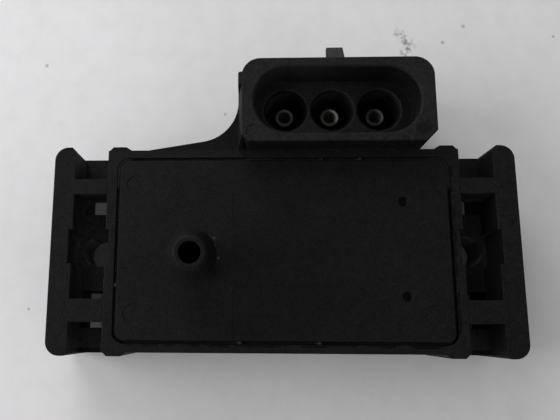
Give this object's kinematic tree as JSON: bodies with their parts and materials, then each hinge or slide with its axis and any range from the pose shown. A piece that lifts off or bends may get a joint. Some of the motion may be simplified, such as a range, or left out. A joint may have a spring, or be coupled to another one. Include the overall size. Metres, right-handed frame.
{
  "type": "pressure sensor",
  "caption": "Manifold pressure sensor in a moulded black body with screw ears, a hose nipple on its front cover and a sealed oval pin connector.",
  "frame": {"origin": "middle of the flat back face, midway between the ears' end plates", "axes": "+X along the body from the nipple's half to the other, +Y towards the connector, +Z out of the front, the way the nipple and the connector open"},
  "size_m": [0.064, 0.0433, 0.0219],
  "materials": {
    "housing": "moulded black glass-filled polyester, fine matt grain",
    "cover": "moulded black glass-filled polyester, flat and slightly scuffed",
    "cover_seal": "cured black silicone, soft sheen",
    "terminal": "bright tin plating over brass",
    "sealant": "cured dark silicone",
    "adhesive": "cured grey-white silicone",
    "alumina": "fired white alumina",
    "pad_film": "printed silver-palladium film",
    "ribbon": "bright soft aluminium",
    "cell_rim": "moulded beige liquid-crystal polymer",
    "die_attach": "cured grey adhesive",
    "pedestal": "polished borosilicate glass",
    "silicon": "polished silicon with a passivated face",
    "gel": "clear soft silicone gel",
    "port_seal": "black moulded rubber",
    "solder": "reflowed solder",
    "capacitor": "brown ceramic with plated ends",
    "resistor": "fired dark resistor film"
  },
  "bodies": {
    "root": {"housing": "housing", "front_cover": "cover", "cover_seal": "cover_seal", "terminal_supply": "terminal", "terminal_signal": "terminal", "terminal_ground": "terminal", "terminal_sealant": "sealant", "substrate_adhesive": "adhesive", "ceramic_substrate": "alumina", "bond_pads": "pad_film", "terminal_ribbons": "ribbon", "cell_rim": "cell_rim", "die_attach": "die_attach", "glass_pedestal": "pedestal", "sensor_die": "silicon", "die_wires": "ribbon", "cell_gel": "gel", "port_seal": "port_seal", "chip_bumps": "solder", "amplifier_chip": "silicon", "solder_lands": "solder", "chip_capacitors": "capacitor", "trim_resistors": "resistor"}
  },
  "joints": []
}
